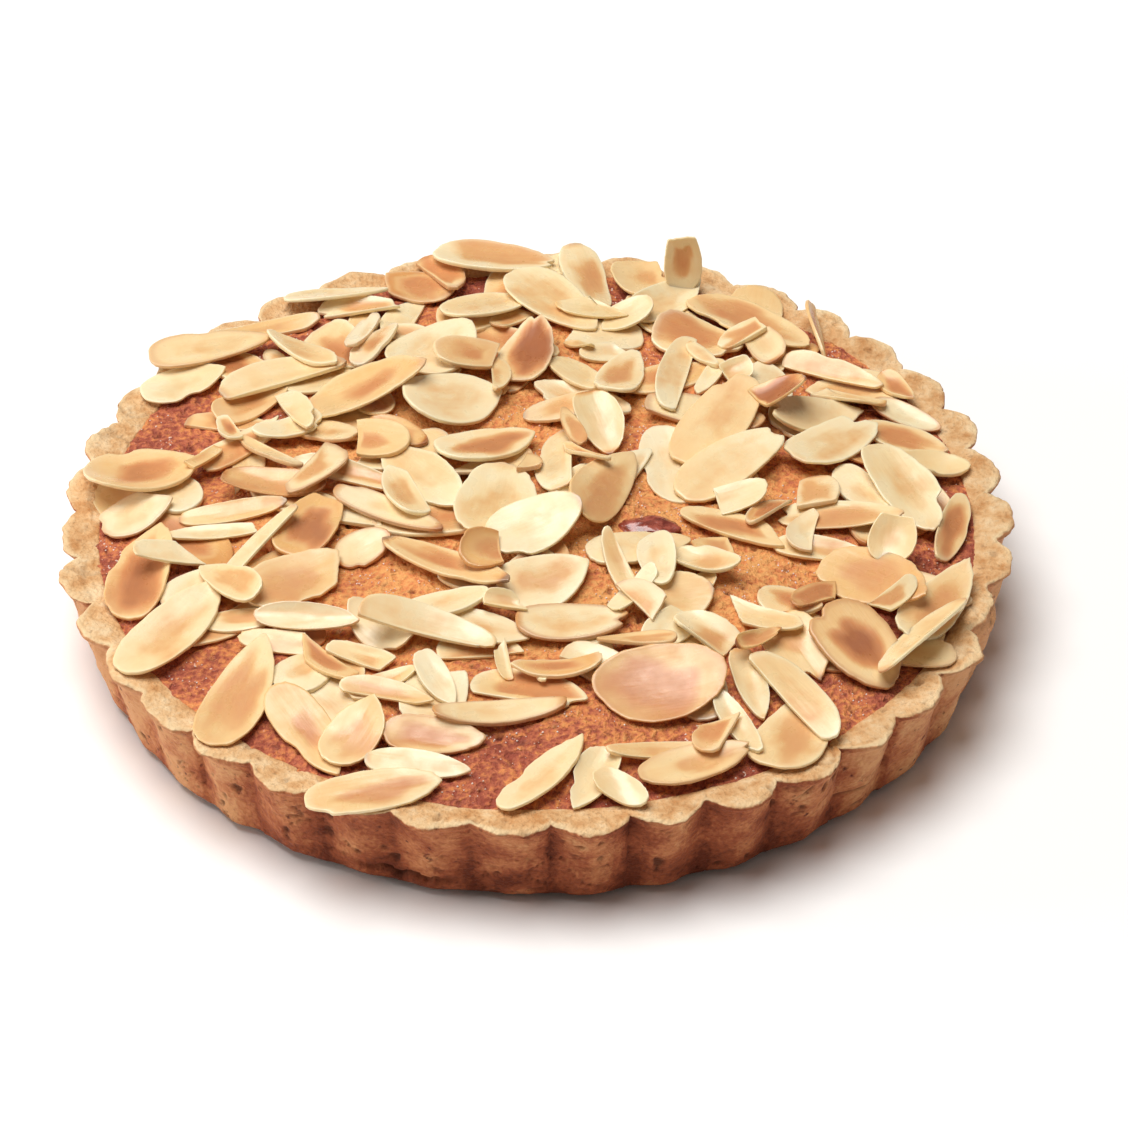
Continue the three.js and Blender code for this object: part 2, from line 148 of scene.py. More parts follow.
# Flakes that stand out on top: x, y, heading in degrees, length, width, toasting from 0 to 1
TOP_FLAKES = [
    (-20, 82, -60, 16, 9, 0.5),
    (-36, 71, 0, 20, 6, 0.3),
    (-56, 64, 17, 23, 6, 0.4),
    (-72, 45, 20, 18, 10, 0.1),
    (-58, 36, 38, 18, 8, 0.7),
    (-42, 24, -30, 14, 8, 0.2),
    (-28, 21, -25, 14, 8, 0.6),
    (-79, 1, 30, 16, 11, 0.1),
    (-60, -2, 2, 22, 5, 0.3),
    (-62, -7, -2, 22, 4, 0.1),
    (-44, -7, 65, 22, 11, 0.9),
    (-54, -14, 50, 22, 6, 0.1),
    (-34, -14, 30, 12, 9, 0),
    (-66, -24, 30, 15, 10, 0.1),
    (-57, -34, -5, 15, 6, 0.3),
    (-44, -50, 45, 14, 11, 0.2),
    (-10, -40, -10, 18, 9, 0.3),
    (-17, -34, 15, 17, 8, 0.2),
    (-29, -54, 28, 14, 5, 0.5),
    (-19, -69, -3, 20, 8, 0.6),
    (1, 83, 42, 16, 8, 0),
    (9, 42, -50, 17, 8, 0.1),
    (5, 29, 0, 16, 8, 0.5),
    (13, 23, -70, 16, 9, 0.1),
    (74, 26, -20, 18, 9, 0.5),
    (79, 16, 20, 15, 10, 0),
    (64, 5, -65, 19, 8, 0.2),
    (82, -3, 75, 22, 6, 0.7),
    (73, 42, -60, 12, 5, 0.7),
    (36, -15, 20, 12, 8, 0.6),
    (33, -22, -25, 15, 8, 0.2),
    (56, -13, -8, 20, 6, 0.3),
    (41, -54, -75, 18, 6, 0.1),
    (28, -31, 10, 13, 12, 0.2),
    (12, -50, -20, 15, 8, 0.1),
    (24, -72, 13, 22, 4, 0.3),
    (-9, 87, -10, 26, 11, 0.3),
    (-42, 75, 8, 22, 8, 0.1),
    (-67, 55, 17, 26, 10, 0.1),
    (-41, 55, -60, 17, 11, 0.7),
    (-21, 51, 60, 22, 17, 0.1),
    (-11, 68, 28, 20, 12, 0.15),
    (-2, 50, 78, 20, 12, 0.9),
    (-52, 44, 28, 28, 11, 0.1),
    (-17, 31, 18, 21, 15, 0.15),
    (-34, 36, 8, 26, 15, 0.65),
    (-58, 22, 40, 24, 7, 0.5),
    (-79, 12, 10, 23, 18, 0.7),
    (-52, 5, -5, 21, 9, 0.6),
    (-36, 9, -25, 28, 5, 0.3),
    (-22, 6, -50, 22, 11, 0.1),
    (-10, 16, 20, 21, 12, 0.6),
    (-8, -3, 80, 24, 16, 0.2),
    (23, 82, 30, 15, 13, 0.4),
    (10, 80, -75, 24, 9, 0.4),
    (3, 70, -50, 26, 13, 0.15),
    (27, 73, 42, 22, 9, 0.15),
    (33, 58, -20, 19, 13, 0.6),
    (44, 65, -38, 30, 12, 0.5),
    (17, 42, 75, 20, 9, 0.4),
    (29, 43, 80, 29, 9, 0.1),
    (46, 40, 90, 22, 11, 0.1),
    (60, 46, -23, 22, 8, 0.4),
    (56, 30, 25, 22, 9, 0.1),
    (60, 21, 45, 26, 11, 0.15),
    (36, 24, 60, 28, 13, 0.25),
    (38, 11, 42, 27, 12, 0.1),
    (5, 11, 90, 25, 11, 0.15),
    (13, 1, 68, 27, 11, 0.4),
    (73, 5, -62, 25, 12, 0.2),
    (60, -4, -5, 25, 8, 0.4),
    (40, -8, -22, 25, 8, 0.6),
    (20, -15, 15, 21, 10, 0.1),
    (78, -28, 60, 27, 10, 0.4),
    (66, -23, -35, 24, 14, 0.7),
    (49, -30, -15, 13, 9, 0.7),
    (50, -43, -60, 18, 12, 0.3),
    (62, -43, -55, 22, 15, 0.9),
    (49, -66, 65, 22, 13, 0.3),
    (49, -58, -55, 26, 11, 0.2),
    (38, -65, -62, 17, 5, 0.1),
    (27, -39, 45, 17, 8, 0),
    (24, -56, 8, 26, 17, 0.7),
    (30, -76, 22, 23, 9, 0.4),
    (2, -79, 50, 24, 8, 0.2),
    (-1, -56, -15, 23, 11, 0.7),
    (-7, -63, 8, 26, 7, 0.1),
    (2, -26, 25, 19, 13, 0.25),
    (0, -13, 20, 20, 13, 0.1),
    (7, -38, 3, 22, 12, 0.15),
    (-21, -43, -8, 27, 11, 0.15),
    (-17, -22, -36, 30, 9, 0.6),
    (-29, -5, -33, 26, 7, 0.1),
    (-46, -24, 30, 23, 13, 0.5),
    (-46, -42, -12, 23, 5, 0.2),
    (-44, -37, -10, 21, 6, 0.1),
    (-77, -17, 80, 28, 12, 0.8),
    (-70, -37, 52, 28, 12, 0.2),
    (-56, -55, 72, 30, 12, 0.45),
    (-43, -66, -58, 25, 10, 0.6),
    (-34, -68, 60, 17, 11, 0.4),
    (-22, -76, -8, 20, 6, 0.15),
    (-30, -83, 12, 26, 10, 0.5),
    (-19, -54, -65, 15, 6, 0),
    (16, -83, -35, 12, 6, 0),
]

# Flakes wedged on end: the same values, then how steeply the length rises and the width leans, in
# degrees, and where the upper end is broken off, of half the length
STANDING_FLAKES = [
    (30, 80, 95, 16, 8, 0.4, 74, 8, 0.5),
    (57, 61, 100, 18, 6, 0.6, 12, 66, 0.9),
    (74, -41, 53, 28, 8, 0.1, 0, -32, 1),
    (70, -13, 75, 13, 9, 0.1, 38, 0, 0.5),
]

# Places where the filling shows between the flakes: x, y, radius
BARE_PATCHES = [
    (-74, 30, 6),
    (-58, 64, 4),
    (-67, -52, 8),
    (-84, -28, 5),
    (-32, -27, 7),
    (-12, -73, 8),
    (4, -69, 8),
    (17, -66, 7),
    (-6, 28, 5),
    (20, 22, 4),
    (50, 12, 4),
    (46, -18, 8),
    (12, -30, 4),
    (57, -62, 5),
]

# More flakes on the sponge, seen in the gaps between those on top
UNDER_TRIES = 520  # places tried, of which few are free
UNDER_LENGTH = (12, 22)
UNDER_SLENDERNESS = (0.4, 0.6)
UNDER_GAP = 0.1  # clear space below the flakes on top
UNDER_SHOWN = 0.3  # every flake stands out of the sponge by at least this much

# Small flakes in the gaps that remain, most of them broken
BIT_TRIES = 1500
BIT_LENGTH = (9, 20)
BIT_SLENDERNESS = (0.3, 0.6)
BIT_BROKEN_SHARE = 0.7
BIT_BREAK_PLACE = (-0.1, 0.6)
BIT_LEAN = 0.35  # the most that one may lean, in radians
BIT_RADIUS = 76  # the middle of each lies within this radius

# Pale grains in clusters on the filling, as painted glints
GRAIN_TRIES = 10000
GRAIN_SIZE = (0.12, 0.32)
GRAIN_REACH = (0.7, 1.2)  # from a grain's middle to a corner, of its size
GRAIN_TILT = (-0.3, 0.3)
CLUSTER_SIZE = 9

# Jam that has come up through the filling: place, and half its length, width and height
JAM_PLACE = (22, -7.5)
JAM_HALF_SIZE = (6, 3.4, 1.7)
JAM_PATCH = (*JAM_PLACE, 6)  # kept free, as the bare patches are

# The crumbly top of the sponge: height and size of each kind of lump, then its pores
SPONGE_CRUMB = ((0.55, 5), (0.42, 2), (0.26, 1))
SPONGE_SINK = 0.3  # it lies this much lower than the solid's, to stay under the flakes
PORE_SIZE = 1.9
PORE_DEPTH = 0.8

# The edge of the sponge, where it slopes down and reaches under the rim
SPONGE_TUCK = 1.5
SPONGE_TUCK_SLOPE = 0.7
SPONGE_EDGE_HEIGHT = 3

# Relief of the pastry: height and size of each kind of lump, then its pits and cracks
PASTRY_SWELL = ((0.55, 13), (0.3, 4.5), (0.18, 1.7))
PIT_SIZE = 2.4
CRACK_SPACING = 10
GAP_DEPTH = 0.6
RIM_SWELL = 0.7  # the rim's lumps are this high, of those on the wall
RIM_GAP_FADE = 0.6  # and the painted shade in its pits and cracks is this much paler

# How far the lip is torn in and out
LIP_RAG = 0.9

# How far the foot is drawn in, up to which height, and how dark its painted shade is there
FOOT_DRAW = 1.5
FOOT_HEIGHT = 2.6
FOOT_SHADE = 0.8

# Painted shade: the wall is darkest on this side, the one that faces the camera
SHADED_SIDE_DEGREES = 272

# A split in the wall, near its foot
SPLIT_DEGREES = 254
SPLIT_HEIGHT = 4.6
SPLIT_LENGTH = 22
SPLIT_GAPE = 0.9
SPLIT_DEPTH = 1.6

# Camera, fitted to the notches of the rim in the photo
CAMERA_TARGET = (5.4, -12.9, CRUST_HEIGHT)
CAMERA_ELEVATION_DEGREES = 38.1
CAMERA_DISTANCE = 12 * RIM_RADIUS
CAMERA_LENS = 185.6
CAMERA_SENSOR = 36

# Lamps, all aimed at the tart: place and size in metres, power in watts, colour
LAMPS = {
    "softbox": ((-0.38, 0.06, 1.7), 1.4, 34, (1, 0.985, 0.965)),
    "side": ((-1.3, 0.05, 0.3), 0.5, 5.5, (1, 0.985, 0.96)),
}
WORLD_COLOR = (1, 0.9, 0.79, 1)
WORLD_STRENGTH = 0.16
FLOOR_REACH = 4.0  # metres from the tart to each side
FLOOR_COLOR = (0.98, 0.98, 0.98, 1)

# Colours of the pastry. A scale holds places from 0 to 1, each with a colour.
WALL_SCALE = [
    (0.2, (0.17, 0.036, 0.014)),
    (0.42, (0.4, 0.105, 0.042)),
    (0.6, (0.61, 0.225, 0.092)),
    (0.76, (0.75, 0.37, 0.165)),
]
RIM_SCALE = [
    (0.3, (0.6, 0.29, 0.11)),
    (0.5, (0.78, 0.48, 0.235)),
    (0.72, (0.89, 0.66, 0.4)),
]
LIP_COLOR = (0.9, 0.69, 0.41)
UNDER_LIP_SHADE_COLOR = (0.26, 0.07, 0.03)
PASTRY_PORE_SHADE_COLOR = (0.14, 0.035, 0.018)
PASTRY_GAP_SHADE_COLOR = (0.1, 0.03, 0.015)

# Colours of the filling
SPONGE_SCALE = [
    (0.15, (0.38, 0.084, 0.048)),
    (0.35, (0.6, 0.17, 0.082)),
    (0.55, (0.84, 0.3, 0.1)),
    (0.8, (0.93, 0.45, 0.155)),
]
SPONGE_PORE_SHADE_COLOR = (0.2, 0.05, 0.03)
# Painted glints: pale pinkish-white grains on the filling
GLINT_SCALE = [
    (0.35, (0.8, 0.45, 0.32)),
    (0.65, (0.97, 0.86, 0.8)),
]
JAM_SCALE = [
    (0.35, (0.16, 0.022, 0.014)),
    (0.65, (0.42, 0.09, 0.055)),
]

# Colours of the almonds
FLESH_SCALE = [
    (0.0, (0.92, 0.785, 0.52)),
    (0.2, (0.9, 0.675, 0.37)),
    (0.45, (0.82, 0.505, 0.205)),
    (0.7, (0.66, 0.29, 0.085)),
    (1.0, (0.26, 0.09, 0.035)),
]
HEART_SCALE = [
    (0.0, (0.87, 0.66, 0.34)),
    (0.3, (0.79, 0.48, 0.21)),
    (0.6, (0.66, 0.29, 0.115)),
    (1.0, (0.4, 0.14, 0.055)),
]
WHITE_FLESH_COLOR = (0.95, 0.825, 0.61)
PALE_EDGE_AND_HIGHLIGHT_COLOR = (0.93, 0.84, 0.59)
BROWN_EDGE_COLOR = (0.5, 0.2, 0.07)

# Mesh detail
POINTS_PER_FLUTE = 30
WALL_RINGS = 36
LIP_RINGS = 3
RIM_RINGS = 16
SPONGE_SEGMENTS = 600
SPONGE_RINGS = 150
FLAKE_POINTS = 52
UPPER_RINGS = (0.985, 0.94, 0.85, 0.7, 0.5, 0.25)  # from the edge to the middle of a flake
LOWER_RINGS = (0.5, 0.985)
EDGE_SIDES = (-0.7, 0.7)  # the lower and the upper corner of a flake's edge, of half its thickness
GRAIN_CORNERS = 4
JAM_POINTS = 40
JAM_RINGS = 20

# Seeded draws: each state is worked out from the one before
DRAW_FACTOR = 1664525
DRAW_STEP = 1013904223
DRAW_RANGE = 2**32

# Worked out from the sizes above
flute_pitch = 2 * math.pi / FLUTE_COUNT
first_notch = math.radians(FIRST_NOTCH_DEGREES)
filling_edge_z = CRUST_HEIGHT - EDGE_DROP
filling_radius = RIM_INNER_RADIUS - 1.5 * FILLING_GAP
filling_foot_z = FLOOR_THICKNESS + FILLING_GAP


def lerp(a, b, t):
    return a + (b - a) * t


def clamp(value, low, high):
    return max(low, min(high, value))


def smooth(value, low, high):
    """0 below low, 1 above high, and a soft step between them."""
    t = clamp((value - low) / (high - low), 0, 1)
    return t * t * (3 - 2 * t)


def make_random(seed):
    """Seeded draws between 0 and 1, the same as those behind the solids."""
    state = seed

    def draw():
        nonlocal state
        state = (state * DRAW_FACTOR + DRAW_STEP) % DRAW_RANGE
        return state / DRAW_RANGE

    return draw


def lumps(point, size):
    """Soft random relief from about -1 to 1, with lumps of about that size."""
    return noise.noise(point / size)


def layered_lumps(point, layers):
    return sum(height * lumps(point, size) for height, size in layers)


class Heap:
    """Closed solids gathered into one mesh, with named tones at each point for the materials to read."""

    def __init__(self, *tone_names):
        self.tone_names = tone_names
        self.points = []
        self.faces = []
        self.tones = []

    def add(self, rings, foot, head):
        """A solid from rings that run counterclockwise, capped to a point below and a point above.

        Each entry is a point, then its tones.
        """
        count = len(rings[0])
        start = len(self.points)
        entries = [entry for ring in rings for entry in ring] + [foot, head]
        for point, *tones in entries:
            self.points.append(point)
            self.tones.append(tones)
        foot_index = start + len(entries) - 2
        head_index = foot_index + 1
        last = start + (len(rings) - 1) * count
        for i in range(count):
            after = (i + 1) % count
            self.faces.append((foot_index, start + after, start + i))
            self.faces.append((head_index, last + i, last + after))
            for row in range(start, last, count):
                self.faces.append((row + i, row + after, row + count + after, row + count + i))

    def make_piece(self, name, material, slot, *replaced):
        """A visible piece from all the solids, in place of those nodes of the part."""
        mesh = bpy.data.meshes.new(name)
        mesh.from_pydata([point * MM for point in self.points], [], self.faces)
        for i, tone_name in enumerate(self.tone_names):
            layer = mesh.attributes.new(tone_name, "FLOAT", "POINT")
            layer.data.foreach_set("value", [tones[i] for tones in self.tones])
        mesh.shade_smooth()
        mesh.materials.append(material)
        piece = bpy.data.objects.new(name, mesh)
        bpy.context.scene.collection.objects.link(piece)
        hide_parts(*replaced)
        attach(piece, "root")


# Pastry case


def draw_flutes():
    """How far each flute stands back, how deep it is and how far its lip is chipped."""
    random = make_random(FLUTE_SEED)
    flutes = []
    for i in range(FLUTE_COUNT):
        middle = FIRST_NOTCH_DEGREES + (i + 0.5) * 360 / FLUTE_COUNT
        away_from_chip = abs((middle - CHIPPED_FLUTE_DEGREES + 540) % 360 - 180)
        flute = SimpleNamespace()
        flute.setback = FLUTE_SETBACK * random()
        flute.depth = 1 + FLUTE_DEPTH_SPREAD * (2 * random() - 1)
        flute.chip = CHIP_DEPTH if away_from_chip < 180 / FLUTE_COUNT else 0
        flutes.append(flute)
    return flutes


flutes = draw_flutes()


def across_flute(angle):
    """The flute at that angle, and how far across it: 0 at its tip, -1 and 1 at its notches."""
    turn = (angle - first_notch) / flute_pitch + 1e-9  # a notch counts with the flute after it
    index = math.floor(turn)
    return flutes[index % FLUTE_COUNT], 2 * (turn - index) - 1


def crust_radius(angle, z):
    """Outer radius: flutes that meet in sharp notches at the rim and run out into soft waves below."""
    flute, across = across_flute(angle)
    tip = 1 - across**2
    rise = z / CRUST_HEIGHT
    wave = lerp(math.sin(across * math.pi / 2) ** 2, across**2, rise)
    depth = flute.depth * lerp(FLUTE_DEPTH_BASE, FLUTE_DEPTH_RIM, rise)
    lip = smooth(z, CRUST_HEIGHT - LIP_HEIGHT, CRUST_HEIGHT - LIP_ROUNDING)
    foot = 1 - smooth(z, 0, FOOT_ROUNDING)
    straight = lerp(BASE_RADIUS, RIM_RADIUS - LIP_OVERHANG, rise)
    outward = lip * (LIP_OVERHANG - flute.chip * tip)
    return straight + outward - foot * FOOT_ROUNDING - flute.setback * tip - depth * wave


def wall_ring(z):
    """A ring of the case's wall, as a function that gives the radius and the height at an angle."""
    return lambda angle: (crust_radius(angle, z), z)


def top_ring(inset, inward, z):
    """The same for the lip and the rim: set in from the outline, then part of the way to the filling."""
    return lambda angle: (lerp(crust_radius(angle, CRUST_HEIGHT) - inset, RIM_INNER_RADIUS, inward), z)


def case_profile():
    """Rings of the case from foot to floor, each with how far its relief pushes out and up.

    The last two values are tones: 1 on the rim, and 1 on the lip round it.
    """
    profile = []
    wall_top = CRUST_HEIGHT - LIP_ROUNDING
    for i in range(WALL_RINGS + 1):
        z = wall_top * i / WALL_RINGS
        lip = smooth(z, wall_top - 1, wall_top)
        profile.append((wall_ring(z), smooth(z, 0, FOOT_ROUNDING), 0, 0, lip))
    for i in range(1, LIP_RINGS + 1):
        turn = math.radians(90 * i / LIP_RINGS)
        inset = LIP_ROUNDING * (1 - math.cos(turn))
        z = wall_top + LIP_ROUNDING * math.sin(turn)
        profile.append((top_ring(inset, 0, z), math.cos(turn), math.sin(turn), i / LIP_RINGS, 1))
    for i in range(1, RIM_RINGS + 1):
        inward = i / RIM_RINGS
        z = CRUST_HEIGHT - RIM_INNER_DROP * inward**2
        profile.append((top_ring(LIP_ROUNDING, inward, z), 0, 1, 1, 1 - smooth(inward, 0, 0.2)))
    profile.append((lambda angle: (FLOOR_INNER_RADIUS, FLOOR_THICKNESS), 0, 0, 0, 0))
    return profile


def pastry_relief(point):
    """How far the baked dough swells or is pitted there, and how deep a pit or crack is from 0 to 1,
    which also sets how much painted shade it gets.
    """
    pit = smooth(lumps(point, PIT_SIZE) + 0.5 * lumps(point, 7), 0.48, 0.78)
    level = Vector((point.x, point.y, 3 * point.z))
    crack = 1 - smooth(abs(lumps(level, CRACK_SPACING)), 0, 0.05)
    crack *= smooth(lumps(point, 15), 0.06, 0.3)
    gap_shade = max(pit, 0.8 * crack)
    return layered_lumps(point, PASTRY_SWELL) - GAP_DEPTH * gap_shade, gap_shade


def foot_split(angle, z):
    """Depth of the split near the foot, from 0 to 1."""
    along = (angle - math.radians(SPLIT_DEGREES)) * BASE_RADIUS / (SPLIT_LENGTH / 2)
    wander = 0.9 * noise.noise(Vector((4 * along, 0, 0)))
    up = (z - SPLIT_HEIGHT - wander) / SPLIT_GAPE
    return max(0, 1 - along**2) * max(0, 1 - up**2)


def pastry_case(material):
    heap = Heap("rim", "lip", "gap_shade", "groove_shade", "rise", "side_shade")
    count = FLUTE_COUNT * POINTS_PER_FLUTE
    angles = [first_notch + 2 * math.pi * i / count for i in range(count)]
    rings = []
    for place, out, up, rim, lip in case_profile():
        ring = []
        for angle in angles:
            radius, z = place(angle)
            toward = Vector((math.cos(angle), math.sin(angle), 0))
            point = toward * radius + Vector((0, 0, z))
            swell, gap_shade = pastry_relief(point)
            swell *= lerp(1, RIM_SWELL, rim)
            split = foot_split(angle, z)
            rag = LIP_RAG * lip * (lumps(point, 5) + 0.5 * lumps(point, 2))
            push = toward * out + Vector((0, 0, up))
            foot = 1 - smooth(z, 0, FOOT_HEIGHT)
            point += push * (swell - SPLIT_DEPTH * split) + toward * (rag - FOOT_DRAW * foot)
            # painted shade in pits, cracks and the split, and at the drawn-in foot
            gap_shade = max(gap_shade * (1 - RIM_GAP_FADE * rim), split, FOOT_SHADE * foot)
            # painted shade: 0 at a flute's tip, 1 at its notches
            groove_shade = across_flute(angle)[1] ** 2
            # painted shade, darkest on the side that faces the camera
            side_shade = smooth(math.cos(angle - math.radians(SHADED_SIDE_DEGREES)), 0.5, 1)
            ring.append((point, rim, lip, gap_shade, groove_shade, z / CRUST_HEIGHT, side_shade))
        rings.append(ring)
    blank = (0,) * len(heap.tone_names)
    heap.add(rings, (Vector((0, 0, 0)), *blank), (Vector((0, 0, FLOOR_THICKNESS)), *blank))
    heap.make_piece("pastry_case", material, "crust", "pastry_crust")


# Almond sponge


def filling_height(x, y):
    """Top of the baked filling: a low dome with soft bumps, as in the solids."""
    out = min(1, math.hypot(x, y) / filling_radius)
    bumps = math.sin(x / 9 + 1) * math.cos(y / 11) + math.sin((x + y) / 7) * math.cos((x - 2 * y) / 15)
    return filling_edge_z + DOME_RISE * (1 - out**2) + FILLING_BUMPS * bumps * (1 - out**6)


def sponge_point(x, y):
    """The crumbly top of the sponge, then how deep a hole is there, which also sets its painted shade,
    and how much browner and more shaded the edge is there, from 0 to 1.
    """
    flat = Vector((x, y, 0))
    out = math.hypot(x, y)
    pore_shade = smooth(lumps(flat, PORE_SIZE), 0.4, 0.6)
    crumb = layered_lumps(flat, SPONGE_CRUMB) - SPONGE_SINK
    tuck = SPONGE_TUCK_SLOPE * max(0, out - RIM_INNER_RADIUS)
    z = filling_height(x, y) + crumb - PORE_DEPTH * pore_shade - tuck
    # darker towards the edge: partly more baking, partly painted shade
    edge_bake_and_shade = smooth(out, 0.45 * filling_radius, filling_radius)
    return Vector((x, y, z)), pore_shade, edge_bake_and_shade


def almond_sponge(material):
    heap = Heap("pore_shade", "edge_bake_and_shade")
    edge = RIM_INNER_RADIUS + SPONGE_TUCK
    angles = [2 * math.pi * i / SPONGE_SEGMENTS for i in range(SPONGE_SEGMENTS)]
    toward = [Vector((math.cos(angle), math.sin(angle), 0)) for angle in angles]
    foot = Vector((0, 0, filling_foot_z))
    shoulder = Vector((0, 0, filling_edge_z - SPONGE_EDGE_HEIGHT))
    rings = [
        [(t * (FLOOR_INNER_RADIUS - FILLING_GAP) + foot, 0, 1) for t in toward],
        [(t * edge + shoulder, 0, 1) for t in toward],
    ]
    for i in range(SPONGE_RINGS, 0, -1):
        radius = edge * i / SPONGE_RINGS
        rings.append([sponge_point(radius * t.x, radius * t.y) for t in toward])
    heap.add(rings, (foot, 0, 1), sponge_point(0, 0))
    heap.make_piece("almond_sponge", material, "filling", "almond_filling")


# Flaked almonds: the same rule as behind the solids


def draw_shape(flake, random, broken_share, break_place=BREAK_PLACE):
    """How a flake is shaped: one end narrow or pointed, perhaps broken or split, cupped and twisted."""
    curl = lerp(*CURL, random() ** 3)
    flake.taper = lerp(*TAPER, random())
    flake.blunt = lerp(*BLUNTNESS, random())
    flake.point = MAX_POINT * random() ** 2
    flake.cut = lerp(*break_place, random()) if random() < broken_share else UNBROKEN
    flake.slant = lerp(*BREAK_SLANT, random())
    flake.split = lerp(*SPLIT_PLACE, random()) if random() < broken_share else UNBROKEN
    flake.bow = lerp(*BOW, random())
    flake.cup_long = curl * lerp(*CUP_LONG, random())
    flake.cup_cross = curl * lerp(*CUP_CROSS, random())
    flake.twist = curl * lerp(*TWIST, random())
    flake.thickness = lerp(*THICKNESS, random())


def half_width(flake, along):
    """Half the width at a place along a flake, both from -1 to 1."""
    rounded = math.sqrt(max(0, 1 - along**2))
    return (1 - flake.taper * along) * rounded ** (flake.blunt + flake.point * max(0, along))


def outline_point(flake, angle):
    """A point of the outline, as places along and across the flake."""
    along = math.cos(angle)
    across = max(math.copysign(half_width(flake, along), math.sin(angle)), -flake.split)
    return min(along, flake.cut + flake.slant * across), across + flake.bow * along**2


def inside_outline(flake, along, across):
    straight = across - flake.bow * along**2
    broken = along > flake.cut + flake.slant * straight or straight < -flake.split
    return not broken and abs(along) < 1 and abs(straight) < half_width(flake, along)


def bend(flake, along, across):
    """How far a flake is cupped and twisted up there."""
    return flake.cup_long * along**2 + flake.cup_cross * across**2 + flake.twist * along * across


def flake_point(flake, along, across, side):
    """A point of the flake in its own frame: side is 1 on the upper face and -1 on the lower face."""
    z = bend(flake, along, across) + side * flake.thickness / 2
    return Vector((along * flake.length / 2, across * flake.width / 2, z))


def turned(heading, pitch, roll):
    return Euler((roll, -pitch, heading), "XYZ").to_matrix()


def cell_at(x, y):
    """A cell of the pile, which holds a height for each cell that a flake covers."""
    return round(x / PILE_STEP), round(y / PILE_STEP)


def cell_middle(cell):
    return PILE_STEP * cell[0], PILE_STEP * cell[1]


def pile_height(pile, x, y):
    over_filling = math.hypot(x, y) < filling_radius
    base = filling_height(x, y) if over_filling else CRUST_HEIGHT + RIM_CLEARANCE
    return max(base, pile.get(cell_at(x, y), base))


def steps(start, end, step):
    while start < end:
        yield start
        start += step


def flake_spots(flake):
    """Points spread over a flake, as places along and across it."""
    spots = []
    for along in steps(-1, 1, SPOT_SPACING / (flake.length / 2)):
        for across in steps(-WIDEST, WIDEST, SPOT_SPACING / (flake.width / 2)):
            if inside_outline(flake, along, across):
                spots.append((along, across))
    return spots


def lowest_lean(flake, pile):
    """Of all the ways a flake may lean, the one that lets its middle lie lowest."""
    flat = turned(math.radians(flake.heading), 0, 0)
    spots = []
    for along, across in flake_spots(flake):
        p = flake_point(flake, along, across, -1)
        place = flat @ p
        spots.append((p.x, p.y, pile_height(pile, flake.x + place.x, flake.y + place.y) - p.z))
    best = (0, 0)
    lowest = max(z for x, y, z in spots)
    step = MAX_LEAN / 2
    while step > LAST_LEAN_STEP:
        for i in range(LEAN_DIRECTIONS):
            direction = 2 * math.pi * i / LEAN_DIRECTIONS
            rise = clamp(best[0] + step * math.cos(direction), -MAX_LEAN, MAX_LEAN)
            lean = clamp(best[1] + step * math.sin(direction), -MAX_LEAN, MAX_LEAN)
            height = max(z - rise * x - lean * y for x, y, z in spots)
            if height < lowest:
                lowest = height
                best = (rise, lean)
        step *= LEAN_STEP_SHRINK
    return math.atan(best[0]), math.atan(best[1])


def face_cells(flake, side):
    """The cells that a flake covers, each with the height of its upper or lower face there."""
    for along, across in flake_spots(flake):
        p = flake.turn @ flake_point(flake, along, across, side)
        yield cell_at(flake.x + p.x, flake.y + p.y), flake.z + p.z


def drop(flake, pitch, roll, pile):
    """Turn a flake that way, and lower it until it touches the pile."""
    flake.turn = turned(math.radians(flake.heading), pitch, roll)
    flake.z = -math.inf
    for along, across in flake_spots(flake):
        p = flake.turn @ flake_point(flake, along, across, -1)
        flake.z = max(flake.z, pile_height(pile, flake.x + p.x, flake.y + p.y) - p.z - flake.sink)


def add_to_pile(flake, pile):
    for cell, height in face_cells(flake, 1):
        pile[cell] = max(pile.get(cell, 0), height)


def settle(flake, pitch, roll, pile):
    drop(flake, pitch, roll, pile)
    add_to_pile(flake, pile)


def spread_flakes(random, count, bare_patches, length_range, slenderness_range, *breaking):
    """Flakes spread evenly on a sunflower spiral, with the bare patches left free."""
    golden_angle = math.pi * (3 - math.sqrt(5))
    spread = []
    for i in range(count):
        out = BED_RADIUS * math.sqrt((i + 0.5) / count)
        flake = SimpleNamespace()
        flake.length = lerp(*length_range, random())
        flake.x = out * math.cos(i * golden_angle) + lerp(-BED_JITTER, BED_JITTER, random())
        flake.y = out * math.sin(i * golden_angle) + lerp(-BED_JITTER, BED_JITTER, random())
        flake.heading = 360 * random()
        flake.width = flake.length * lerp(*slenderness_range, random())
        flake.toast = None  # drawn later, with the flake's look
        flake.sink = BED_SINK
        draw_shape(flake, random, *breaking)
        margin = BARE_MARGIN * flake.length
        clear = [
            math.hypot(flake.x - x, flake.y - y) >= radius + margin
            for x, y, radius in bare_patches
        ]
        if all(clear):
            spread.append(flake)
    return spread


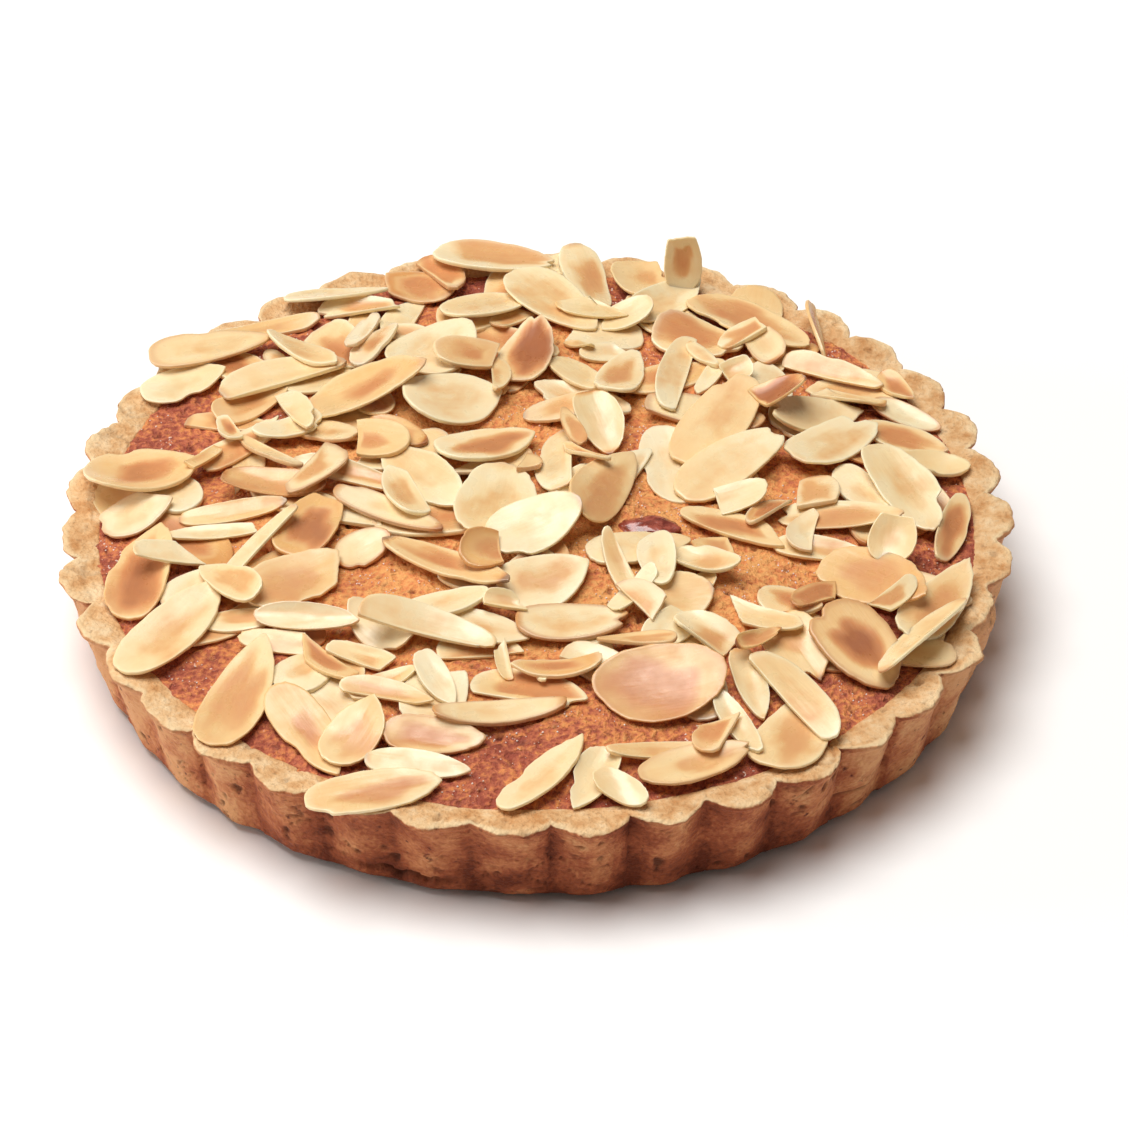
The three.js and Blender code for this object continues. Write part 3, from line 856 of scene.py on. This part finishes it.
def lay_out_flakes(pile):
    """The flakes of the solids, added to the pile, and a copy of the pile as it is with the bed only."""
    random = make_random(FLAKE_SEED)
    bed = spread_flakes(random, BED_COUNT, BARE_PATCHES, BED_LENGTH, BED_SLENDERNESS, BED_BROKEN_SHARE)
    top = []
    for x, y, heading, length, width, toast in TOP_FLAKES:
        flake = SimpleNamespace(x=x, y=y, heading=heading, length=length, width=width, toast=toast)
        flake.sink = TOP_SINK
        draw_shape(flake, random, TOP_BROKEN_SHARE)
        top.append(flake)
    for flake in bed:
        settle(flake, *lowest_lean(flake, pile), pile)
    bed_pile = dict(pile)
    for flake in top:
        settle(flake, *lowest_lean(flake, pile), pile)
    for x, y, heading, length, width, toast, pitch, roll, cut in STANDING_FLAKES:
        flake = SimpleNamespace(x=x, y=y, heading=heading, length=length, width=width, toast=toast)
        flake.sink = STANDING_SINK
        draw_shape(flake, random, 0)
        flake.cut = cut
        flake.slant = 0
        settle(flake, math.radians(pitch), math.radians(roll), pile)
        top.append(flake)
    return bed, top, bed_pile


def lay_out_under(bed_pile, top, pile):
    """Flakes on the sponge in the gaps of the bed, lowered to stay clear of those on top.

    A flake is kept if all of it still stands out of the sponge.
    """
    random = make_random(UNDER_SEED)
    ceiling = {}
    for flake in top:
        for cell, height in face_cells(flake, -1):
            ceiling[cell] = min(ceiling.get(cell, height), height)
    shapes = (UNDER_LENGTH, UNDER_SLENDERNESS, BED_BROKEN_SHARE)
    under = []
    for flake in spread_flakes(random, UNDER_TRIES, [*BARE_PATCHES, JAM_PATCH], *shapes):
        if cell_at(flake.x, flake.y) in bed_pile:
            continue
        drop(flake, *lowest_lean(flake, bed_pile), bed_pile)
        clash = max(height - ceiling.get(cell, math.inf) for cell, height in face_cells(flake, 1))
        flake.z -= max(0, clash + UNDER_GAP)
        shown = [height - sponge_point(*cell_middle(cell))[0].z for cell, height in face_cells(flake, 1)]
        if min(shown) > UNDER_SHOWN:
            add_to_pile(flake, bed_pile)
            add_to_pile(flake, pile)
            under.append(flake)
    return under


def lay_out_bits(pile):
    """Small flakes in the gaps between the others, which they may lean on a little."""
    random = make_random(BIT_SEED)
    shapes = (BIT_LENGTH, BIT_SLENDERNESS, BIT_BROKEN_SHARE, BIT_BREAK_PLACE)
    bits = []
    for bit in spread_flakes(random, BIT_TRIES, [*BARE_PATCHES, JAM_PATCH], *shapes):
        if cell_at(bit.x, bit.y) in pile or math.hypot(bit.x, bit.y) > BIT_RADIUS:
            continue
        pitch, roll = lowest_lean(bit, pile)
        if math.hypot(pitch, roll) < BIT_LEAN:
            settle(bit, pitch, roll, pile)
            bits.append(bit)
    return bits


# Flake meshes


def draw_look(flake, random):
    """How a flake is toasted and torn: a heart browner than its flesh, perhaps a dark tip or a nick."""
    if flake.toast is None:
        flake.toast = random() ** 1.5
    flake.heart_shift = (lerp(*HEART_SHIFT, random()), lerp(*HEART_SHIFT, random()))
    flake.heart_size = lerp(*HEART_SIZE, random())
    flake.heart_blur = lerp(*HEART_BLUR, random())
    hearty = random()
    flake.heart = RAW_HEART + flake.toast * lerp(*HEART_TOAST, hearty)
    flake.gold = RAW_GOLD * random() + flake.toast * lerp(*GOLD_TOAST, hearty)
    flake.gold_rise = lerp(*GOLD_RISE, random())
    flake.dark_tip = lerp(*DARK_TIP, random()) if random() < DARK_TIP_SHARE else 0
    flake.pallor = random()
    flake.pale_edge = lerp(*PALE_EDGE, random())
    flake.rag = lerp(*RAG, random())
    flake.bite = lerp(*BITE, random()) if random() < BITE_SHARE else 0
    flake.bite_angle = 2 * math.pi * random()
    flake.seed = 100 * random()


def flake_entry(flake, along, across, side, reach):
    """A point of a flake, with its tones. Reach is 0 at the middle and 1 at the edge."""
    local = flake_point(flake, along, across, side)
    x, y = flake.heart_shift
    wander = noise.noise(Vector((1.6 * along, 1.6 * across, flake.seed)))
    off = reach + x * along + y * across + HEART_WANDER * wander
    heart = 1 - smooth(off, flake.heart_size - flake.heart_blur, flake.heart_size + flake.heart_blur)
    ripple = noise.noise(Vector((local.x / RIPPLE_LENGTH, local.y / RIPPLE_WIDTH, flake.seed)))
    local.z += side * (RIPPLE_HEIGHT * ripple - HEART_DIP * heart)
    tip = max(smooth(along, NARROW_TIP_START, 1), smooth(-along, WIDE_TIP_START, 1))
    gold = flake.gold + flake.gold_rise * along + flake.dark_tip * tip
    edge = flake.pale_edge * smooth(reach, PALE_EDGE_START, 1)
    point = flake.turn @ local + Vector((flake.x, flake.y, flake.z))
    return point, gold, heart * flake.heart, edge, flake.pallor, local.x, local.y, flake.seed


def ragged_outline(flake):
    """Points round a flake, as places along and across it, with rough edges and perhaps a nick."""
    outline = []
    for i in range(FLAKE_POINTS):
        angle = 2 * math.pi * i / FLAKE_POINTS
        along, across = outline_point(flake, angle)
        toward = Vector((math.cos(angle), math.sin(angle), flake.seed))
        rough = noise.noise(1.6 * toward) + 0.6 * noise.noise(7 * toward)
        past_bite = abs((angle - flake.bite_angle + math.pi) % (2 * math.pi) - math.pi)
        size = 1 + flake.rag * rough - flake.bite * (1 - smooth(past_bite, *BITE_SPAN))
        outline.append((along * size, across * size))
    return outline


def flake_rings(flake):
    """Rings of a flake from its lower face round its edge to its upper face."""
    outline = ragged_outline(flake)

    def ring(reach, side):
        places = [(reach * along, reach * across) for along, across in outline]
        return [flake_entry(flake, along, across, side, reach) for along, across in places]

    lower = [ring(reach, -1) for reach in LOWER_RINGS]
    edge = [ring(1, side) for side in EDGE_SIDES]
    upper = [ring(reach, 1) for reach in UPPER_RINGS]
    return lower + edge + upper


def almond_piece(name, flakes, seed, material):
    heap = Heap("gold", "heart", "edge", "pallor", "along", "across", "grain")
    random = make_random(seed)
    for flake in flakes:
        draw_look(flake, random)
        foot = flake_entry(flake, 0, 0, -1, 0)
        head = flake_entry(flake, 0, 0, 1, 0)
        heap.add(flake_rings(flake), foot, head)
    heap.make_piece(name, material, "filling")


# Painted glints and jam


def glint_grains(pile, material):
    """Small pale crystal-shaped grains in clusters on the sponge, where no flake covers it, as painted
    glints.
    """
    heap = Heap()
    random = make_random(GRAIN_SEED)
    for _ in range(GRAIN_TRIES):
        out = filling_radius * math.sqrt(random())
        angle = 2 * math.pi * random()
        size = lerp(*GRAIN_SIZE, random())
        spin = math.pi * random()
        x = out * math.cos(angle)
        y = out * math.sin(angle)
        if cell_at(x, y) in pile or lumps(Vector((x, y, 0)), CLUSTER_SIZE) < 0:
            continue
        middle = sponge_point(x, y)[0]
        ring = []
        for i in range(GRAIN_CORNERS):
            turn = spin + 2 * math.pi * i / GRAIN_CORNERS
            reach = size * lerp(*GRAIN_REACH, random())
            toward = Vector((math.cos(turn), math.sin(turn), lerp(*GRAIN_TILT, random())))
            ring.append((middle + reach * toward,))
        up = Vector((0, 0, size))
        heap.add([ring], (middle - up,), (middle + up,))
    heap.make_piece("glint_grains", material, "filling")


def jam_spot(material):
    """A blob of jam, lumpy and wet, half sunk in the sponge."""
    heap = Heap()
    length, width, height = JAM_HALF_SIZE
    middle = Vector((*JAM_PLACE, filling_height(*JAM_PLACE)))

    def jam_point(turn, lift):
        flat = math.cos(lift)
        x = length * flat * math.cos(turn)
        y = width * flat * math.sin(turn)
        local = Vector((x, y, height * math.sin(lift)))
        return (middle + local * (1 + 0.25 * lumps(local + middle, 2) + 0.1 * lumps(local, 0.8)),)

    turns = [2 * math.pi * i / JAM_POINTS for i in range(JAM_POINTS)]
    lifts = [math.pi * (i / JAM_RINGS - 0.5) for i in range(1, JAM_RINGS)]
    rings = [[jam_point(turn, lift) for turn in turns] for lift in lifts]
    heap.add(rings, jam_point(0, -math.pi / 2), jam_point(0, math.pi / 2))
    heap.make_piece("jam_spot", material, "filling")


# Materials


class Shader:
    """A material's node tree, with one short method for each kind of node."""

    def __init__(self, name):
        self.material = bpy.data.materials.new(name)
        self.material.use_nodes = True
        self.tree = self.material.node_tree
        self.surface = self.tree.nodes["Principled BSDF"]

    def node(self, kind, **settings):
        node = self.tree.nodes.new(kind)
        for key, value in settings.items():
            setattr(node, key, value)
        return node

    def feed(self, socket, value):
        if isinstance(value, bpy.types.NodeSocket):
            self.tree.links.new(value, socket)
        else:
            socket.default_value = value

    def tone(self, name):
        return self.node("ShaderNodeAttribute", attribute_name=name).outputs["Fac"]

    def place(self):
        return self.node("ShaderNodeTexCoord").outputs["Object"]

    def math(self, operation, a, b, clamped=False):
        node = self.node("ShaderNodeMath", operation=operation, use_clamp=clamped)
        self.feed(node.inputs[0], a)
        self.feed(node.inputs[1], b)
        return node.outputs[0]

    def times(self, a, b, clamped=False):
        return self.math("MULTIPLY", a, b, clamped)

    def vector(self, x, y, z):
        node = self.node("ShaderNodeCombineXYZ")
        for socket, value in zip(node.inputs, (x, y, z)):
            self.feed(socket, value)
        return node.outputs[0]

    def noise(self, where, size, detail=3.0):
        """Random patches from 0 to 1 of about that size, in the units of the place given."""
        node = self.node("ShaderNodeTexNoise")
        self.feed(node.inputs["Vector"], where)
        node.inputs["Scale"].default_value = 1 / size
        node.inputs["Detail"].default_value = detail
        return node.outputs["Fac"]

    def ramp(self, value, scale):
        """The colour of a value on a scale of positions and colours."""
        node = self.node("ShaderNodeValToRGB")
        elements = node.color_ramp.elements
        while len(elements) < len(scale):
            elements.new(1)
        for element, (position, color) in zip(elements, scale):
            element.position = position
            element.color = (*color, 1)
        self.feed(node.inputs["Fac"], value)
        return node.outputs["Color"]

    def span(self, value, low, high):
        """0 below low, 1 above high, and straight between them."""
        node = self.node("ShaderNodeMapRange")
        self.feed(node.inputs["Value"], value)
        node.inputs["From Min"].default_value = low
        node.inputs["From Max"].default_value = high
        return node.outputs["Result"]

    def mix(self, share, a, b):
        node = self.node("ShaderNodeMix", data_type="RGBA")
        self.feed(node.inputs["Factor"], share)
        for name, value in (("A", a), ("B", b)):
            socket = next(s for s in node.inputs if s.name == name and s.type == "RGBA")
            self.feed(socket, (*value, 1) if isinstance(value, tuple) else value)
        return next(s for s in node.outputs if s.type == "RGBA")

    def shift(self, value, patches, amount):
        """The value, moved up or down by patches that run from 0 to 1."""
        offset = self.times(self.math("SUBTRACT", patches, 0.5), amount)
        return self.math("ADD", value, offset)

    def bump(self, height, strength, distance):
        node = self.node("ShaderNodeBump")
        node.inputs["Strength"].default_value = strength
        node.inputs["Distance"].default_value = distance
        self.feed(node.inputs["Height"], height)
        self.feed(self.surface.inputs["Normal"], node.outputs["Normal"])

    def finish(self, color, roughness, specular):
        self.feed(self.surface.inputs["Base Color"], color)
        self.feed(self.surface.inputs["Roughness"], roughness)
        self.surface.inputs["Specular IOR Level"].default_value = specular
        return self.material


def pastry_material():
    """A brown wall with a paler rim and lip, crumbly, with painted shade as dark dots for small pits, in
    pits and cracks, in the notches of the flutes, under the lip, at and towards the foot, and on the
    side that faces the camera.
    """
    shader = Shader("baked_pastry")
    where = shader.place()
    lip = shader.tone("lip")
    crumbs = shader.noise(where, 0.9 * MM, 5)
    blotches = shader.noise(where, 8 * MM, 5)
    browning_and_shade = shader.shift(blotches, crumbs, 0.45)
    # painted shade: the wall is darker towards the foot
    browning_and_shade = shader.shift(browning_and_shade, shader.tone("rise"), 0.22)
    # painted shade in the notches between the flutes
    browning_and_shade = shader.shift(browning_and_shade, shader.tone("groove_shade"), -0.26)
    # painted shade on the side that faces the camera
    browning_and_shade = shader.shift(browning_and_shade, shader.tone("side_shade"), -0.28)
    wall = shader.ramp(browning_and_shade, WALL_SCALE)
    top = shader.ramp(shader.shift(shader.noise(where, 4 * MM, 5), crumbs, 0.35), RIM_SCALE)
    top = shader.mix(shader.times(lip, shader.span(blotches, 0.3, 0.7)), top, LIP_COLOR)
    ragged_rim = shader.shift(shader.tone("rim"), shader.noise(where, 1.6 * MM, 3), 0.7)
    rim = shader.span(ragged_rim, 0.35, 0.6)
    color = shader.mix(rim, wall, top)
    # painted shade on the wall just under the lip
    under_lip_shade = shader.math("SUBTRACT", lip, rim, clamped=True)
    color = shader.mix(shader.times(under_lip_shade, 0.25), color, UNDER_LIP_SHADE_COLOR)
    # painted shade: dark dots for small pits that are not modelled, fewer on the rim
    pastry_pore_shade = shader.span(shader.noise(where, 1.9 * MM, 4), 0.64, 0.74)
    pastry_pore_shade = shader.times(pastry_pore_shade, shader.span(rim, 1.4, 0.2))
    color = shader.mix(pastry_pore_shade, color, PASTRY_PORE_SHADE_COLOR)
    # painted shade in pits, cracks and the split, and at the foot
    color = shader.mix(shader.times(shader.tone("gap_shade"), 0.85), color, PASTRY_GAP_SHADE_COLOR)
    shader.bump(shader.shift(crumbs, blotches, 0.8), 0.9, 0.9 * MM)
    return shader.finish(color, shader.span(crumbs, -0.6, 1.2), 0.15)


def sponge_material():
    """Orange-brown crumb, darker towards the edge, partly from baking and partly as painted shade, with
    holes painted dark as shade, and moist spots.
    """
    shader = Shader("baked_sponge")
    where = shader.place()
    patches = shader.noise(where, 13 * MM)
    crumbs = shader.noise(where, 1.1 * MM, 5)
    wet = shader.noise(where, 1.6 * MM, 2)
    # darker towards the edge: partly more baking, partly painted shade
    browning_and_shade = shader.shift(shader.shift(patches, crumbs, 1.3), shader.tone("edge_bake_and_shade"), -0.4)
    color = shader.ramp(browning_and_shade, SPONGE_SCALE)
    # painted shade in the holes
    color = shader.mix(shader.times(shader.tone("pore_shade"), 0.7), color, SPONGE_PORE_SHADE_COLOR)
    shader.bump(crumbs, 1.0, 1.6 * MM)
    return shader.finish(color, shader.span(wet, 0.75, 0.3), 0.35)


def almond_material():
    """Ivory to golden flesh round a browner heart, with brown edges on some flakes and pale ones, partly
    painted highlight, on others, and fine fibres.
    """
    shader = Shader("toasted_almond")
    along = shader.tone("along")
    across = shader.tone("across")
    grain = shader.tone("grain")
    mottle = shader.noise(shader.vector(along, across, grain), 4)
    fibres = shader.noise(shader.vector(shader.times(along, 0.14), across, grain), 0.8, 2)
    streaks = shader.noise(shader.vector(shader.times(along, 0.25), across, grain), 2.2, 3)
    gold = shader.shift(shader.shift(shader.tone("gold"), mottle, 0.3), fibres, 0.06)
    flesh = shader.ramp(gold, FLESH_SCALE)
    whiter = shader.times(shader.span(shader.tone("pallor"), 0.8, 1.0), 0.6)
    flesh = shader.mix(whiter, flesh, WHITE_FLESH_COLOR)
    depth = shader.shift(shader.shift(shader.tone("heart"), mottle, 0.3), streaks, 0.14)
    heart = shader.ramp(depth, HEART_SCALE)
    color = shader.mix(shader.span(depth, 0.1, 0.36), flesh, heart)
    edge = shader.tone("edge")
    # pale edges: partly the paler cut flesh, partly painted highlight
    color = shader.mix(shader.times(edge, 0.65, clamped=True), color, PALE_EDGE_AND_HIGHLIGHT_COLOR)
    color = shader.mix(shader.times(edge, -1.6, clamped=True), color, BROWN_EDGE_COLOR)
    shader.bump(shader.shift(fibres, mottle, 0.8), 0.1, 0.5 * MM)
    shader.surface.inputs["Subsurface Weight"].default_value = 0.45
    shader.surface.inputs["Subsurface Radius"].default_value = (0.8, 0.8, 0.75)
    shader.surface.inputs["Subsurface Scale"].default_value = 1.0 * MM
    return shader.finish(color, shader.span(mottle, -0.1, 1.8), 0.6)


# Painted glints
def glint_material():
    shader = Shader("painted_glint")
    tints = shader.noise(shader.place(), 0.6 * MM)
    return shader.finish(shader.ramp(tints, GLINT_SCALE), shader.span(tints, -0.2, 2), 0.8)


def jam_material():
    shader = Shader("jam")
    pulp = shader.noise(shader.place(), 1.5 * MM, 4)
    shader.bump(pulp, 0.4, 0.6 * MM)
    shader.surface.inputs["Coat Weight"].default_value = 0.6
    return shader.finish(shader.ramp(pulp, JAM_SCALE), shader.span(pulp, -0.1, 2.2), 0.6)


# Stage


def add_floor():
    mesh = bpy.data.meshes.new("floor")
    low = -FLOOR_REACH
    high = FLOOR_REACH
    corners = [(low, low, 0), (high, low, 0), (high, high, 0), (low, high, 0)]
    mesh.from_pydata(corners, [], [(0, 1, 2, 3)])
    material = bpy.data.materials.new("floor")
    material.use_nodes = True
    surface = material.node_tree.nodes["Principled BSDF"]
    surface.inputs["Base Color"].default_value = FLOOR_COLOR
    surface.inputs["Roughness"].default_value = 0.9
    mesh.materials.append(material)
    floor = bpy.data.objects.new("floor", mesh)
    bpy.context.scene.collection.objects.link(floor)


def add_lamp(name, place, size, power, color):
    """A round soft lamp that shines on the origin."""
    light = bpy.data.lights.new(name, "AREA")
    light.shape = "DISK"
    light.size = size
    light.energy = power
    light.color = color
    lamp = bpy.data.objects.new(name, light)
    lamp.location = place
    lamp.rotation_euler = (-Vector(place)).to_track_quat("-Z", "Y").to_euler()
    bpy.context.scene.collection.objects.link(lamp)


def add_lights():
    world = bpy.data.worlds.new("studio")
    world.use_nodes = True
    background = world.node_tree.nodes["Background"]
    background.inputs["Color"].default_value = WORLD_COLOR
    background.inputs["Strength"].default_value = WORLD_STRENGTH
    bpy.context.scene.world = world
    for name, settings in LAMPS.items():
        add_lamp(name, *settings)


def add_camera():
    elevation = math.radians(CAMERA_ELEVATION_DEGREES)
    target = Vector(CAMERA_TARGET) * MM
    back = Vector((0, -math.cos(elevation), math.sin(elevation)))
    data = bpy.data.cameras.new("camera")
    data.lens = CAMERA_LENS
    data.sensor_width = CAMERA_SENSOR
    camera = bpy.data.objects.new("camera", data)
    camera.location = target + back * CAMERA_DISTANCE * MM
    camera.rotation_euler = (-back).to_track_quat("-Z", "Y").to_euler()
    bpy.context.scene.collection.objects.link(camera)
    bpy.context.scene.camera = camera


pastry_case(pastry_material())
almond_sponge(sponge_material())
almond = almond_material()
pile = {}
bed, top, bed_pile = lay_out_flakes(pile)
under = lay_out_under(bed_pile, top, pile)
bits = lay_out_bits(pile)
almond_piece("almond_flakes", bed + top, FLAKE_LOOK_SEED, almond)
almond_piece("almond_bits", under + bits, BIT_LOOK_SEED, almond)
glint_grains(pile, glint_material())
jam_spot(jam_material())
add_floor()
add_lights()
add_camera()
bpy.context.scene.view_settings.view_transform = "Standard"
